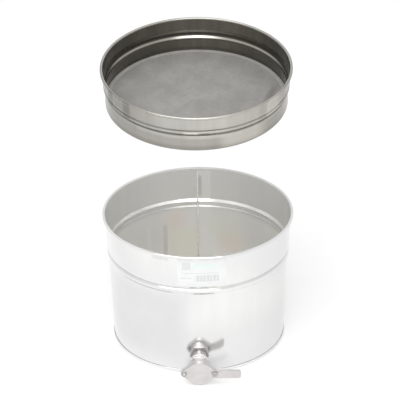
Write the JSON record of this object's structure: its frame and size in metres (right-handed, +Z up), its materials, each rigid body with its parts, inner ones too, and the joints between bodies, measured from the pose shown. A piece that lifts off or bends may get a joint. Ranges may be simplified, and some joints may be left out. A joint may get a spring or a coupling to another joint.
{
  "type": "honey tank strainer",
  "caption": "Open stainless honey tank with a bottom gate, and the shallow round strainer that seats on its rim, lifted above it.",
  "frame": {"origin": "middle of the round foot, on the floor", "axes": "+Z up along the tank's axis; the gate faces -Y and its handle points to +X"},
  "size_m": [0.392, 0.4314, 0.6374],
  "materials": {
    "tank_steel": "bright rolled stainless sheet, faint vertical streaks",
    "strainer_steel": "satin stainless sheet, warm grey",
    "wire_steel": "drawn stainless wire, hidden in the curl",
    "weld_steel": "ground weld",
    "mesh_gauze": "fine woven stainless gauze",
    "gate_steel": "satin machined stainless",
    "bolt_steel": "turned stainless",
    "seal_rubber": "white food-grade seal",
    "label_paper": "white paper sticker"
  },
  "bodies": {
    "tank": {"tank_wall": "tank_steel", "tank_rim_wire": "wire_steel", "tank_bottom": "tank_steel", "base_hem": "tank_steel", "side_seam_weld": "weld_steel", "outlet_pipe": "gate_steel", "outlet_weld": "weld_steel", "lock_nut": "gate_steel", "gate_body": "gate_steel", "gate_seal": "seal_rubber", "pivot_bolt": "bolt_steel", "pivot_washer": "bolt_steel", "pivot_nut": "bolt_steel", "clamp_bolt": "bolt_steel", "label": "label_paper"},
    "flap": {"gate_flap": "gate_steel"},
    "clamp": {"clamp_nut": "bolt_steel", "clamp_washer": "bolt_steel"},
    "strainer": {"strainer_band": "strainer_steel", "strainer_rim_wire": "wire_steel", "strainer_mesh": "mesh_gauze", "mesh_seat_ring": "strainer_steel", "mesh_hold_ring": "strainer_steel", "band_seam_weld": "weld_steel"}
  },
  "joints": [
    {"name": "gate_swing", "type": "hinge", "parent": "tank", "child": "flap", "pos_m": [-0.031, -0.2215, 0.028], "axis": [0, -1, 0], "range_deg": [0, 95]},
    {"name": "clamp_turn", "type": "hinge", "parent": "tank", "child": "clamp", "pos_m": [0.031, -0.2215, 0.028], "axis": [0, -1, 0], "range_deg": [0, 360]},
    {"name": "strainer_lift", "type": "hinge", "parent": "tank", "child": "strainer", "pos_m": [0, -2.93278, 0.28125], "axis": [1, 0, 0], "range_deg": [-6.5, 0]}
  ]
}
